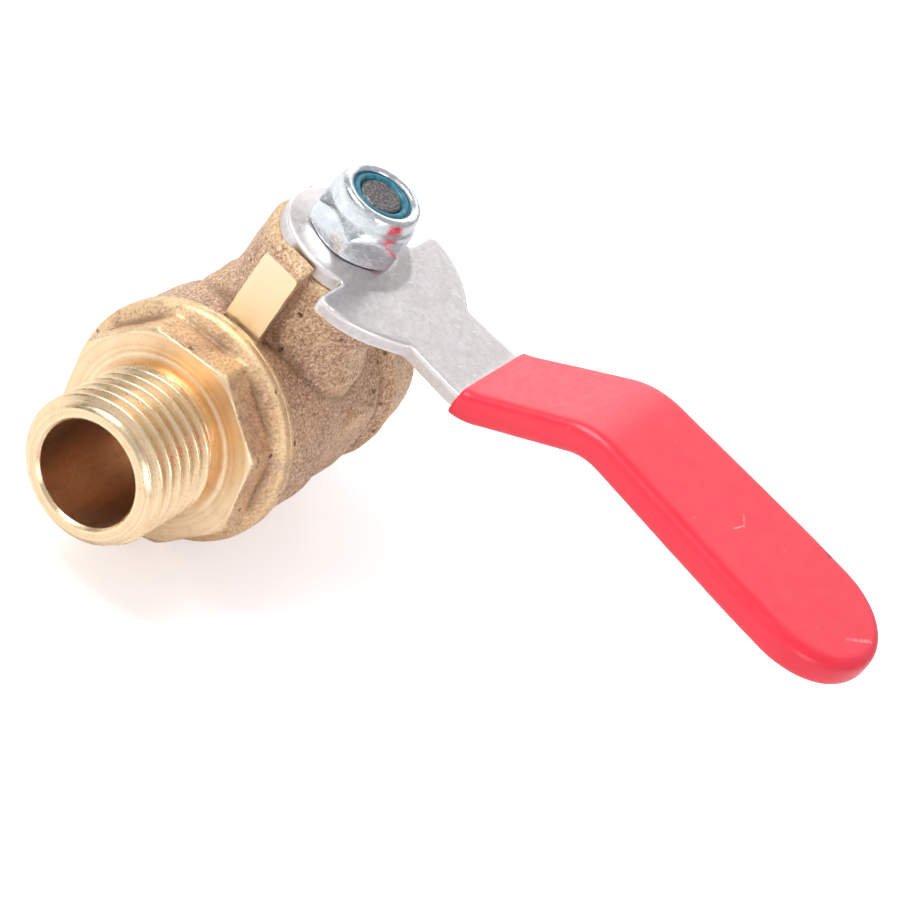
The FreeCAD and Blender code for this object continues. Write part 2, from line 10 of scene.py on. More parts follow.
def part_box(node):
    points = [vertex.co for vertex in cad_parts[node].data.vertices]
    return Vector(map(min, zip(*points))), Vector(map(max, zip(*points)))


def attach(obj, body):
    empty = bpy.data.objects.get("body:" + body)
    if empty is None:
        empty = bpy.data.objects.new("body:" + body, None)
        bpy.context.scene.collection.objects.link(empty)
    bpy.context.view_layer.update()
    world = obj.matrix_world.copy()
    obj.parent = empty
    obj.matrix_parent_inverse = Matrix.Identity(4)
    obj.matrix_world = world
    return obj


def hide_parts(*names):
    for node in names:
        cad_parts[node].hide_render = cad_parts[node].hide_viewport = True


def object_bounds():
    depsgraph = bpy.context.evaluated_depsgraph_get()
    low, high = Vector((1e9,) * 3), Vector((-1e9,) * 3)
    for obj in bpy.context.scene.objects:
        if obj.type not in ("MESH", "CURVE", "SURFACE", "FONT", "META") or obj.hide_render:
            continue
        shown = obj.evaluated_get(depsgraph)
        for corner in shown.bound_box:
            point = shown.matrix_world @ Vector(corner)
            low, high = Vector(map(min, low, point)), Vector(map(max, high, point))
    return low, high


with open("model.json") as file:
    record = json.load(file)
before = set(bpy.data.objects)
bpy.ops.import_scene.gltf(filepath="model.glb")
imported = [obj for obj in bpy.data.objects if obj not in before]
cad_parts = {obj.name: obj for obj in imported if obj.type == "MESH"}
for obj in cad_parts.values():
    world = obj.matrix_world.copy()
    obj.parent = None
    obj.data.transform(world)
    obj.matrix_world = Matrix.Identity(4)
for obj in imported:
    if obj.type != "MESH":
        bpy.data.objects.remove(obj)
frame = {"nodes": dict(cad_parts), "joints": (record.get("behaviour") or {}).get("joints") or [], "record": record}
cad_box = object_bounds()

# Shapes are worked out in mm about the ball's centre: flow along X, stem along Z, lever to -Y.
# They are written as (along, radius) round the flow or the stem, and theta goes from +Y to +Z or from
# +X to +Y.

MM = 0.001
PIVOT = Vector(frame["joints"][0]["pos_m"])
MOUNTS = {mount["name"]: mount for mount in frame["record"]["mounts"]}
PIPE_MAJOR_R = MOUNTS["male_port"]["dims"]["r_mm"]
PIPE_MINOR_R = MOUNTS["female_port"]["dims"]["r_mm"]
PIPE_PITCH = 25.4 / 19


def node_span(node, axis):
    """Lowest and highest place of a CAD node along one axis, in mm from the ball's centre."""
    low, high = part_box(node)
    return (low[axis] - PIVOT[axis]) / MM, (high[axis] - PIVOT[axis]) / MM


MALE_FACE_X, SPIGOT_END_X = node_span("end_cap", 0)
JOINT_FACE_X, FEMALE_FACE_X = node_span("body", 0)
FLANGE_R = node_span("end_cap", 1)[1]
STOP_TOP_Z = node_span("body", 2)[1]
PLATE_LOW_Z = node_span("handle_plate", 2)[0]
NUT_LOW_Z, NUT_TOP_Z = node_span("lock_nut", 2)
INSERT_LOW_Z, INSERT_TOP_Z = node_span("nylon_insert", 2)
SEAT_BACK_X = node_span("seat_outlet", 0)[1]

# Radii of the passages, and the places of the machined faces
BORE_R = 4.6
SEAT_BORE_R = 4.2
POCKET_R = 6.1
CAVITY_R = 6.9
CLOSURE_R = 8.5
CAP_FACE_X = -13.6
FRONT_STOP_FACE_X = -8.2
TOWER_TOP_Z = PLATE_LOW_Z - 0.01

# Whitworth pipe thread: half the angle between flanks, and half the flat at the root in pitches
FLANK_ANGLE = 27.5
ROOT_FLAT = 0.09


# Mesh building ------------------------------------------------------------------------------

def place_object(name, mesh, materials):
    """Links a mesh in mm about the ball's centre as an object in metres in the CAD's frame."""
    mesh.transform(Matrix.Translation(PIVOT) @ Matrix.Scale(MM, 4))
    for material in materials:
        mesh.materials.append(material)
    mesh.update()
    thing = bpy.data.objects.new(name, mesh)
    bpy.context.scene.collection.objects.link(thing)
    return thing


def stand_in(name, mesh, materials, node, body):
    """Puts a finished mesh in the place of a CAD node, riding on a body."""
    piece = place_object(name, mesh, materials)
    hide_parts(node)
    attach(piece, body)


def clean(mesh, merge=1e-5):
    """Welds doubled points, drops empty faces and turns every face outwards."""
    work = bmesh.new()
    work.from_mesh(mesh)
    bmesh.ops.remove_doubles(work, verts=work.verts, dist=merge)
    bmesh.ops.dissolve_degenerate(work, edges=work.edges, dist=merge)
    bmesh.ops.recalc_face_normals(work, faces=work.faces)
    work.to_mesh(mesh)
    work.free()


def points_of(mesh):
    flat = np.empty(len(mesh.vertices) * 3, np.float32)
    mesh.vertices.foreach_get("co", flat)
    return flat.reshape(-1, 3).astype(float)


def set_points(mesh, points):
    mesh.vertices.foreach_set("co", np.asarray(points, np.float32).ravel())
    mesh.update()


def normals_of(mesh):
    flat = np.empty(len(mesh.vertices) * 3, np.float32)
    mesh.vertex_normals.foreach_get("vector", flat)
    return flat.reshape(-1, 3).astype(float)


def edges_of(mesh):
    flat = np.empty(len(mesh.edges) * 2, np.int32)
    mesh.edges.foreach_get("vertices", flat)
    return flat.reshape(-1, 2)


def relaxed(points, edges, rounds):
    """Points drawn halfway to the middle of their neighbours, as many times as there are rounds."""
    count = np.bincount(edges.ravel(), minlength=len(points))[:, None]
    for _ in range(rounds):
        total = np.zeros_like(points)
        np.add.at(total, edges[:, 0], points[edges[:, 1]])
        np.add.at(total, edges[:, 1], points[edges[:, 0]])
        points = points + 0.5 * (total / np.maximum(count, 1) - points)
    return points


def bumps(points, scale, seed):
    """Smooth noise between about -1 and 1 at each point; scale is in bumps per mm."""
    shift = Vector((seed * 17.3, seed * 5.1, seed * 9.7))
    return np.array([noise.noise(Vector(p) * scale + shift) for p in points])


def lumps_at(points, layers):
    """Height of smooth lumps at each point; a layer is (height in mm, bumps per mm, seed)."""
    return sum(height * bumps(points, scale, seed) for height, scale, seed in layers)


def softened(mesh, rounds, layers):
    """Runs every edge of a mesh soft, then lays lumps on its skin; gives back the new points."""
    points = relaxed(points_of(mesh), edges_of(mesh), rounds)
    set_points(mesh, points)
    points = points + normals_of(mesh) * lumps_at(points, layers)[:, None]
    set_points(mesh, points)
    return points


def store_relief(mesh, name, rounds, reach):
    """Keeps how far each point stands out from its surroundings as an attribute: 0 hollow, 1 proud."""
    points = points_of(mesh)
    inward = points - relaxed(points, edges_of(mesh), rounds)
    height = np.einsum("ij,ij->i", inward, normals_of(mesh))
    relief = np.clip(height / reach, -1, 1) * 0.5 + 0.5
    layer = mesh.attributes.new(name, "FLOAT", "POINT")
    layer.data.foreach_set("value", relief.astype(np.float32))


def soft_min(a, b, blend):
    """The smaller of two values, with the change from one to the other rounded over `blend`."""
    h = np.clip(0.5 + 0.5 * (b - a) / blend, 0, 1)
    return b * (1 - h) + a * h - blend * h * (1 - h)


def flats_radius(theta, count, across_flats, turn):
    """Radius of a regular polygon at each angle, with a corner at `turn` degrees."""
    step = 2 * math.pi / count
    inside = np.mod(theta - math.radians(turn), step) - step / 2
    return across_flats / 2 / np.cos(inside)


def pipe_thread(along, theta, start, rounding):
    """Radius of the helical pipe thread, crests and roots rounded; it is right-handed for +theta."""
    turn = np.mod((along - start) / PIPE_PITCH - theta / (2 * math.pi), 1.0)
    from_root = np.abs(turn - 0.5) * PIPE_PITCH
    flank = PIPE_MINOR_R + (from_root - ROOT_FLAT * PIPE_PITCH) / math.tan(math.radians(FLANK_ANGLE))
    wall = -soft_min(-flank, -np.full_like(flank, PIPE_MINOR_R), rounding)
    return soft_min(wall, np.full_like(wall, PIPE_MAJOR_R), rounding)


def full_circle(count):
    """Evenly spaced angles once round."""
    return np.arange(count) * 2 * math.pi / count


def sharp(tag, *places):
    """Corners without rounding, all with the same tag."""
    return [(along, radius, 0, tag) for along, radius in places]


def rounded_corner(corner, before, after, rounding):
    """Rows of a smooth bend in place of a corner, starting `rounding` away from it where there is room."""
    arms = []
    for arm in (before - corner, after - corner):
        length = np.maximum(np.linalg.norm(arm, axis=1, keepdims=True), 1e-6)
        arms.append(arm * np.minimum(rounding / length, 0.45))
    bend = np.linspace(0, 1, 5)[:, None, None]
    return corner + (1 - bend) ** 2 * arms[0] + bend**2 * arms[1]


def lathe_rows(items, theta, step):
    """Rows of (along, radius) round the axis from corners and ready-made blocks, and a tag for each row.

    A corner is (along, radius, rounding, tag); along and radius may vary with the angle.
    A block is (rows, tag). A tag belongs to the surface from its item to the next one.
    """
    spans = []
    for item in items:
        if len(item) == 2:
            spans.append((*item, 0))
            continue
        along, radius, rounding, tag = item
        point = np.stack([np.broadcast_to(along, theta.shape), np.broadcast_to(radius, theta.shape)], 1)
        spans.append((point[None].astype(float), tag, rounding))
    rounded = []
    for k, (block, _, rounding) in enumerate(spans):
        if rounding == 0:
            rounded.append(block)
            continue
        before = spans[k - 1][0][-1]
        after = spans[(k + 1) % len(spans)][0][0]
        rounded.append(rounded_corner(block[0], before, after, rounding))
    rows = []
    tags = []
    for k, block in enumerate(rounded):
        target = rounded[(k + 1) % len(rounded)][0]
        gap = np.linalg.norm(target - block[-1], axis=1).max()
        pieces = max(1, math.ceil(gap / step))
        rows.extend(block)
        for piece in range(1, pieces):
            rows.append(block[-1] + (target - block[-1]) * piece / pieces)
        tags.extend([spans[k][1]] * (len(block) + pieces - 1))
    return np.array(rows), tags


def lathe_mesh(name, items, theta, axis, step, tag_order, wobble=None):
    """Closed mesh from a closed outline turned about X or Z; tags choose the materials."""
    rows, tags = lathe_rows(items, theta, step)
    count_rows, count = rows.shape[:2]
    along, radius = rows[..., 0], rows[..., 1]
    if wobble is not None:
        along, radius = wobble(along, radius, np.broadcast_to(theta, radius.shape), tags)
    u = radius * np.cos(theta)
    v = radius * np.sin(theta)
    points = np.stack([along, u, v] if axis == "X" else [u, v, along], -1).reshape(-1, 3)
    faces = []
    face_tags = []
    for m in range(count_rows):
        after = (m + 1) % count_rows
        for n in range(count):
            right = (n + 1) % count
            faces.append((m * count + n, m * count + right, after * count + right, after * count + n))
        face_tags.extend([tag_order.index(tags[m])] * count)
    mesh = bpy.data.meshes.new(name)
    mesh.from_pydata(points.tolist(), [], faces)
    mesh.polygons.foreach_set("material_index", face_tags)
    clean(mesh)
    return mesh


def shade(mesh, angle):
    """Smooth shading with creases kept where faces meet at more than `angle` degrees."""
    mesh.shade_smooth()
    mesh.set_sharp_from_angle(angle=math.radians(angle))


# Materials ----------------------------------------------------------------------------------

class Finish:
    """A procedural material. Its place is in mm from the ball's centre, so detail has a real size."""

    def __init__(self, name):
        self.material = bpy.data.materials.new(name)
        self.material.use_nodes = True
        self.tree = self.material.node_tree
        self.tree.nodes.clear()
        output = self.tree.nodes.new("ShaderNodeOutputMaterial")
        self.surface = self.tree.nodes.new("ShaderNodeBsdfPrincipled")
        self.tree.links.new(self.surface.outputs[0], output.inputs[0])
        coordinates = self.tree.nodes.new("ShaderNodeTexCoord").outputs["Object"]
        moved = self.vector("SUBTRACT", coordinates, tuple(PIVOT))
        self.place = self.vector("SCALE", moved, scale=1 / MM)

    def feed(self, socket, value):
        if isinstance(value, bpy.types.NodeSocket):
            self.tree.links.new(value, socket)
        else:
            socket.default_value = value

    def vector(self, operation, a, b=None, scale=None):
        """Vector maths on sockets or plain values."""
        node = self.tree.nodes.new("ShaderNodeVectorMath")
        node.operation = operation
        self.feed(node.inputs[0], a)
        if b is not None:
            self.feed(node.inputs[1], b)
        if scale is not None:
            self.feed(node.inputs["Scale"], scale)
        return node.outputs["Value" if operation in ("LENGTH", "DOT_PRODUCT") else "Vector"]

    def maths(self, operation, a, b=0.0, clamp=False):
        node = self.tree.nodes.new("ShaderNodeMath")
        node.operation = operation
        node.use_clamp = clamp
        self.feed(node.inputs[0], a)
        self.feed(node.inputs[1], b)
        return node.outputs[0]

    def stretched(self, x, y, z):
        """Place scaled apart along each axis, so that noise on it is drawn out."""
        return self.vector("MULTIPLY", self.place, (x, y, z))

    def noise(self, scale, detail=3.0, rough=0.6, place=None, distortion=0.0):
        node = self.tree.nodes.new("ShaderNodeTexNoise")
        self.feed(node.inputs["Vector"], place or self.place)
        node.inputs["Scale"].default_value = scale
        node.inputs["Detail"].default_value = detail
        node.inputs["Roughness"].default_value = rough
        node.inputs["Distortion"].default_value = distortion
        return node.outputs["Fac"]

    def cells(self, scale, place=None):
        """Distance from the nearest of scattered points, in spacings between them."""
        node = self.tree.nodes.new("ShaderNodeTexVoronoi")
        self.feed(node.inputs["Vector"], place or self.place)
        node.inputs["Scale"].default_value = scale
        return node.outputs["Distance"]

    def ramp(self, value, low, high, to_low=0.0, to_high=1.0):
        """Smooth change from to_low to to_high as the value goes from low to high."""
        node = self.tree.nodes.new("ShaderNodeMapRange")
        node.interpolation_type = "SMOOTHSTEP"
        for index, item in enumerate((value, low, high, to_low, to_high)):
            self.feed(node.inputs[index], item)
        return node.outputs[0]

    def mix(self, factor, a, b):
        node = self.tree.nodes.new("ShaderNodeMix")
        node.data_type = "RGBA"
        self.feed(node.inputs["Factor"], factor)
        self.feed(node.inputs[6], a if isinstance(a, bpy.types.NodeSocket) else (*a, 1))
        self.feed(node.inputs[7], b if isinstance(b, bpy.types.NodeSocket) else (*b, 1))
        return node.outputs[2]

    def over(self, colour, mask, share, tone):
        """Colour with up to `share` of another tone laid over it where the mask is 1."""
        return self.mix(self.maths("MULTIPLY", mask, share), colour, tone)

    def attribute(self, name):
        node = self.tree.nodes.new("ShaderNodeAttribute")
        node.attribute_name = name
        return node.outputs["Fac"]

    def split(self, vector):
        node = self.tree.nodes.new("ShaderNodeSeparateXYZ")
        self.feed(node.inputs[0], vector)
        return node.outputs

    def join(self, x, y, z):
        node = self.tree.nodes.new("ShaderNodeCombineXYZ")
        for index, item in enumerate((x, y, z)):
            self.feed(node.inputs[index], item)
        return node.outputs[0]

    def around_flow(self):
        """(along the flow, radius from it, 0), so that noise on it makes turning marks."""
        x, y, z = self.split(self.place)
        return self.join(x, self.vector("LENGTH", self.join(0.0, y, z)), 0.0)

    def near_line(self, start, end, width):
        """1 close to the straight line between two places in mm, fading out at `width` from it."""
        line = Vector(end) - Vector(start)
        offset = self.vector("SUBTRACT", self.place, start)
        share = self.vector("DOT_PRODUCT", offset, tuple(line / line.length_squared))
        foot = self.vector("SCALE", tuple(line), scale=self.maths("ADD", share, clamp=True))
        distance = self.vector("LENGTH", self.vector("SUBTRACT", offset, foot))
        return self.ramp(distance, width, 0.4 * width)

    def bump(self, height, depth, strength, under=None):
        """Relief `depth` mm deep; several are stacked by passing one on as `under`."""
        node = self.tree.nodes.new("ShaderNodeBump")
        self.feed(node.inputs["Height"], height)
        node.inputs["Strength"].default_value = strength
        node.inputs["Distance"].default_value = depth * MM
        if under is not None:
            self.feed(node.inputs["Normal"], under)
        return node.outputs[0]

    def set(self, **inputs):
        """Feeds the surface's inputs, named with _ for a space, and gives back the material."""
        for name, value in inputs.items():
            socket = self.surface.inputs[name.replace("_", " ")]
            if isinstance(value, tuple):
                value = (*value, 1)
            self.feed(socket, value)
        return self.material


def cast_brass(name, brown, golden, golden_share, grain_share):
    """Sand-cast brass: brown skin with golden patches, grain with painted sparkle, pits, and painted shade in
    hollows.

    It darkens at the seam between end cap and body.
    """
    f = Finish(name)
    patches = f.ramp(f.noise(0.22, 3), 0.62 - golden_share, 0.86 - golden_share)
    colour = f.mix(patches, brown, golden)
    grey = f.ramp(f.noise(0.35, 4, 0.7), 0.55, 0.75)
    colour = f.over(colour, grey, 0.6, (0.38, 0.27, 0.23))
    blotch = f.noise(0.8, 4, 0.7)
    colour = f.mix(f.ramp(blotch, 0.54, 0.68, 0.0, 0.45), colour, (0.88, 0.66, 0.50))
    colour = f.mix(f.ramp(blotch, 0.46, 0.32, 0.0, 0.50), colour, (0.36, 0.20, 0.125))
    grain = f.noise(4.2, 4, 0.8)
    # Partly real grain, partly painted sparkle: the near-white speckles stand in for glints off the grain
    colour = f.mix(f.ramp(grain, 0.50, 0.63, 0.0, grain_share), colour, (1.0, 0.84, 0.68))
    colour = f.mix(f.ramp(grain, 0.47, 0.36, 0.0, grain_share), colour, (0.20, 0.10, 0.06))
    pits = f.ramp(f.cells(0.45, f.vector("ADD", f.place, f.stretched(0.2, 0.1, 0.3))), 0.16, 0.05)
    colour = f.over(colour, pits, 0.8, (0.12, 0.07, 0.06))
    worn = f.ramp(f.attribute("fine_relief"), 0.66, 1.0)
    colour = f.over(colour, worn, 0.35, (0.88, 0.66, 0.38))
    # Painted shade: points sunk in hollows are darkened where shade would fall
    hollow_shade = f.ramp(f.attribute("hollow"), 0.46, 0.12)
    colour = f.over(colour, hollow_shade, 0.60, (0.20, 0.10, 0.055))
    from_joint = f.maths("ABSOLUTE", f.maths("SUBTRACT", f.split(f.place)[0], JOINT_FACE_X))
    seam = f.ramp(f.maths("ADD", from_joint, f.maths("MULTIPLY", grain, 0.25)), 0.42, 0.20)
    colour = f.over(colour, seam, 0.85, (0.12, 0.06, 0.04))
    surface = f.bump(grain, 0.11 * grain_share, 1.0)
    surface = f.bump(f.noise(1.1, 3, 0.6), 0.12, 0.5, surface)
    surface = f.bump(f.maths("MULTIPLY", pits, -1.0), 0.18, 1.0, surface)
    rough = f.ramp(f.noise(2.0, 2), 0.3, 0.7, 0.42, 0.60)
    return f.set(Base_Color=colour, Metallic=0.85, Roughness=rough, Normal=surface)


def turned_brass(name, ring_scale, ring_depth, smooth, dull):
    """Bright brass from the lathe: fine rings, with tarnish in patches, and painted shade in its hollows such as
    the thread's valleys.
    """
    f = Finish(name)
    rings_place = f.around_flow()
    rings = f.noise(ring_scale, 4, 0.7, rings_place)
    fine = f.noise(16.0, 2, 0.6, rings_place)
    tarnish = f.ramp(f.noise(0.45, 5, 0.7, distortion=0.6), 0.48, 0.72)
    colour = f.mix(f.ramp(rings, 0.36, 0.64), (0.88, 0.62, 0.38), (0.98, 0.80, 0.54))
    colour = f.over(colour, tarnish, 0.5, (0.78, 0.50, 0.32))
    specks = f.ramp(f.cells(1.3), 0.10, 0.04)
    colour = f.over(colour, specks, 0.6, (0.35, 0.20, 0.12))
    # Painted shade: sunken points, such as the roots of the thread, are darkened where shade would fall
    low = f.ramp(f.attribute("fine_relief"), 0.42, 0.14)
    colour = f.over(colour, low, 0.85, (0.34, 0.19, 0.10))
    high = f.ramp(f.attribute("fine_relief"), 0.60, 0.90)
    colour = f.over(colour, high, 0.6, (1.0, 0.84, 0.58))
    nicks = f.maths("MULTIPLY", high, f.ramp(f.noise(1.4, 3, 0.7), 0.60, 0.68))
    colour = f.over(colour, nicks, 0.75, (0.26, 0.14, 0.09))
    surface = f.bump(rings, ring_depth, 0.8)
    surface = f.bump(fine, 0.4 * ring_depth, 0.7, surface)
    rough = f.ramp(f.noise(0.9, 4), 0.35, 0.7, smooth, dull)
    return f.set(Base_Color=colour, Metallic=1.0, Roughness=rough, Normal=surface)


def milled_brass():
    """Pale clean brass from the milling cutter, with faint feed marks up the face."""
    f = Finish("milled_brass")
    marks = f.noise(1.6, 3, 0.6, f.stretched(1, 1, 0.2))
    colour = f.mix(marks, (0.97, 0.82, 0.56), (1.0, 0.88, 0.66))
    surface = f.bump(marks, 0.012, 0.6)
    rough = f.ramp(marks, 0.3, 0.7, 0.34, 0.44)
    return f.set(Base_Color=colour, Metallic=0.9, Roughness=rough, Normal=surface)


def bore_brass():
    """Brass inside the passages, with drag marks; its tones are painted shade, a darker and redder copy of the
    turned brass for the shade in the passages.
    """
    f = Finish("bore_brass")
    rings = f.noise(4.0, 3, 0.7, f.around_flow())
    # Painted shade: darker, redder tones than the turned brass, for the shade inside the passages
    colour = f.mix(rings, (0.93, 0.58, 0.37), (0.99, 0.70, 0.46))
    streaks = f.ramp(f.noise(0.9, 4, 0.7, f.stretched(0.25, 1, 1)), 0.45, 0.7)
    colour = f.over(colour, streaks, 0.5, (0.70, 0.38, 0.23))
    surface = f.bump(rings, 0.02, 0.7)
    return f.set(Base_Color=colour, Metallic=1.0, Roughness=0.34, Normal=surface)


def lever_steel():
    """Satin plated steel with fine mottling, a few scratches and brighter edges."""
    f = Finish("lever_steel")
    mottle = f.noise(1.6, 5, 0.75)
    cloud = f.noise(0.25, 3)
    colour = f.mix(f.ramp(mottle, 0.35, 0.65), (0.63, 0.59, 0.59), (0.73, 0.70, 0.70))
    colour = f.mix(f.ramp(cloud, 0.45, 0.7), colour, (0.68, 0.64, 0.65))
    along = f.ramp(f.noise(2.5, 2, 0.5, f.stretched(1.0, 0.12, 1.0), 0.8), 0.665, 0.70)
    across = f.ramp(f.noise(1.8, 2, 0.5, f.stretched(0.15, 1.0, 1.0), 1.2), 0.675, 0.71)
    scratches = f.maths("MAXIMUM", along, across)
    colour = f.over(colour, scratches, 0.55, (0.86, 0.84, 0.84))
    worn = f.ramp(f.attribute("fine_relief"), 0.60, 0.90)
    colour = f.over(colour, worn, 0.8, (0.92, 0.90, 0.89))
    surface = f.bump(mottle, 0.012, 0.8)
    surface = f.bump(f.maths("MULTIPLY", scratches, -1.0), 0.01, 0.7, surface)
    rough = f.ramp(f.noise(3.0, 3), 0.3, 0.7, 0.34, 0.46)
    return f.set(Base_Color=colour, Metallic=1.0, Roughness=rough, Normal=surface)


def zinc_plate():
    """Bright zinc on the nut, slightly blue, rubbed where the spanner held it."""
    f = Finish("zinc_plate")
    rub = f.noise(1.4, 5, 0.75, f.stretched(1, 1, 2.2), 0.5)
    colour = f.mix(f.ramp(rub, 0.4, 0.65), (0.68, 0.73, 0.78), (0.88, 0.90, 0.93))
    stain = f.ramp(f.noise(0.8, 4, 0.7), 0.52, 0.70)
    colour = f.over(colour, stain, 0.55, (0.42, 0.48, 0.54))
    surface = f.bump(rub, 0.025, 0.7)
    rough = f.ramp(rub, 0.4, 0.7, 0.15, 0.34)
    return f.set(Base_Color=colour, Metallic=0.95, Roughness=rough, Normal=surface)


# Marks on the sleeve, each a line between two places in mm with its width
PALE_RUBS = (
    ((-0.6, -52.3, 24.8), (1.6, -53.6, 24.8), 0.30),
    ((1.1, -39.4, 25.4), (0.0, -40.1, 25.4), 0.12),
    ((0.0, -40.1, 25.4), (-1.3, -39.8, 25.4), 0.12),
)
DARK_CUTS = (
    ((6.5, -45.3, 25.0), (5.9, -46.3, 25.2), 0.22),
    ((-5.9, -20.4, 20.7), (-5.9, -21.7, 19.8), 0.16),
)


def dipped_vinyl():
    """Soft red vinyl dip: even colour, faint orange-peel, slightly scuffed, with a few cuts and rubs."""
    f = Finish("dipped_vinyl")
    cloud = f.noise(0.15, 3)
    colour = f.mix(cloud, (0.88, 0.022, 0.052), (0.93, 0.036, 0.072))
    scuff = f.ramp(f.noise(2.0, 3, 0.6, f.stretched(0.35, 1, 1), 1.0), 0.68, 0.73)
    colour = f.over(colour, scuff, 0.25, (1.0, 0.30, 0.34))
    broken = f.ramp(f.noise(3.0, 3, 0.7), 0.35, 0.55)
    for start, end, width in PALE_RUBS:
        rub = f.maths("MULTIPLY", f.near_line(start, end, width), broken)
        colour = f.over(colour, rub, 0.7, (1.0, 0.38, 0.42))
    surface = f.bump(f.noise(0.9, 2, 0.4), 0.03, 0.35)
    for start, end, width in DARK_CUTS:
        cut = f.near_line(start, end, width)
        colour = f.over(colour, cut, 0.85, (0.25, 0.010, 0.020))
        surface = f.bump(f.maths("MULTIPLY", cut, -1.0), 0.10, 1.0, surface)
    surface = f.bump(f.noise(7.0, 2, 0.5), 0.004, 0.5, surface)
    rough = f.ramp(f.noise(1.2, 3), 0.3, 0.7, 0.30, 0.42)
    return f.set(
        Base_Color=colour, Roughness=rough, Normal=surface, Subsurface_Weight=0.25,
        Subsurface_Scale=0.0012, Coat_Weight=0.15, Coat_Roughness=0.25)


def lock_nylon():
    """Teal nylon, rubbed bright where the thread pressed through it."""
    f = Finish("lock_nylon")
    cloud = f.noise(1.5, 4, 0.7)
    colour = f.mix(f.ramp(cloud, 0.35, 0.7), (0.012, 0.11, 0.17), (0.035, 0.25, 0.34))
    surface = f.bump(cloud, 0.03, 0.6)
    return f.set(Base_Color=colour, Roughness=0.32, Normal=surface, Subsurface_Weight=0.1)


def stem_steel():
    """Dull turned steel with a speckled end."""
    f = Finish("stem_steel")
    speck = f.noise(4.5, 4, 0.8)
    colour = f.mix(f.ramp(speck, 0.40, 0.66), (0.10, 0.095, 0.095), (0.34, 0.33, 0.33))
    surface = f.bump(speck, 0.05, 0.8)
    return f.set(Base_Color=colour, Metallic=0.9, Roughness=0.55, Normal=surface)


def ball_chrome():
    """Polished chrome plating with faint polishing swirls."""
    f = Finish("ball_chrome")
    swirl = f.noise(2.0, 5, 0.7, distortion=1.5)
    colour = f.mix(swirl, (0.74, 0.75, 0.77), (0.84, 0.85, 0.86))
    rough = f.ramp(swirl, 0.3, 0.7, 0.05, 0.12)
    return f.set(Base_Color=colour, Metallic=1.0, Roughness=rough, Normal=f.bump(swirl, 0.004, 0.4))


def seat_ptfe():
    """White PTFE, faintly waxy and mottled."""
    f = Finish("seat_ptfe")
    cloud = f.noise(1.2, 4, 0.6)
    colour = f.mix(cloud, (0.82, 0.82, 0.80), (0.92, 0.92, 0.90))
    return f.set(
        Base_Color=colour, Roughness=0.42, Subsurface_Weight=0.2, Subsurface_Scale=0.001,
        Normal=f.bump(f.noise(6.0, 3), 0.01, 0.5))


def ring_rubber():
    """Black nitrile rubber with a light bloom."""
    f = Finish("ring_rubber")
    bloom = f.noise(2.5, 4, 0.7)
    colour = f.mix(bloom, (0.012, 0.012, 0.012), (0.045, 0.045, 0.045))
    return f.set(Base_Color=colour, Roughness=0.48, Normal=f.bump(bloom, 0.01, 0.5))


BODY_SKIN = cast_brass("body_skin", (0.57, 0.340, 0.225), (0.69, 0.45, 0.265), 0.26, 0.85)
CAP_SKIN = cast_brass("cap_skin", (0.66, 0.410, 0.255), (0.82, 0.57, 0.33), 0.34, 0.55)
RIM_SKIN = cast_brass("rim_skin", (0.68, 0.430, 0.250), (0.86, 0.62, 0.36), 0.42, 0.35)
TURNED = turned_brass("turned_brass", 5.0, 0.020, 0.22, 0.36)
FACED = turned_brass("faced_brass", 2.6, 0.045, 0.32, 0.46)
MILLED = milled_brass()
BORE = bore_brass()
STEEL = lever_steel()
ZINC = zinc_plate()
VINYL = dipped_vinyl()
NYLON = lock_nylon()


# End cap ------------------------------------------------------------------------------------

CAP_FLATS = 8
ACROSS_FLATS = 18.0
CAP_TURN = 12.0
CAP_CORNER_R = 9.75
CAP_CHAMFER_R = 9.35
CAP_CHAMFER_SLOPE = 0.8
CAP_FLATS_END_X = -10.35
SHOULDER_X = -9.95
SHOULDER_R = 10.22
RIM_START_X = -9.65
RIM_GROOVE_X = -9.04
RIM_GROOVE_HALF_W = 0.08
RIM_GROOVE_DEPTH = 0.10
RIM_BEVEL_W = 0.22
RIM_BEVEL_DEPTH = 0.30
THREAD_RUN_IN = 0.9
FACE_RING_W = 0.95
RELIEF_X = -14.15
RELIEF_R = 5.95
RELIEF_SLOPE = 1.6
BOSS_R = 6.95
BOSS_HEIGHT = 0.12
CAP_LUMPS = ((0.05, 0.45, 1), (0.035, 1.5, 2))
CAP_LUMP_SHARE = {"cast": 1.0, "rim": 0.4}


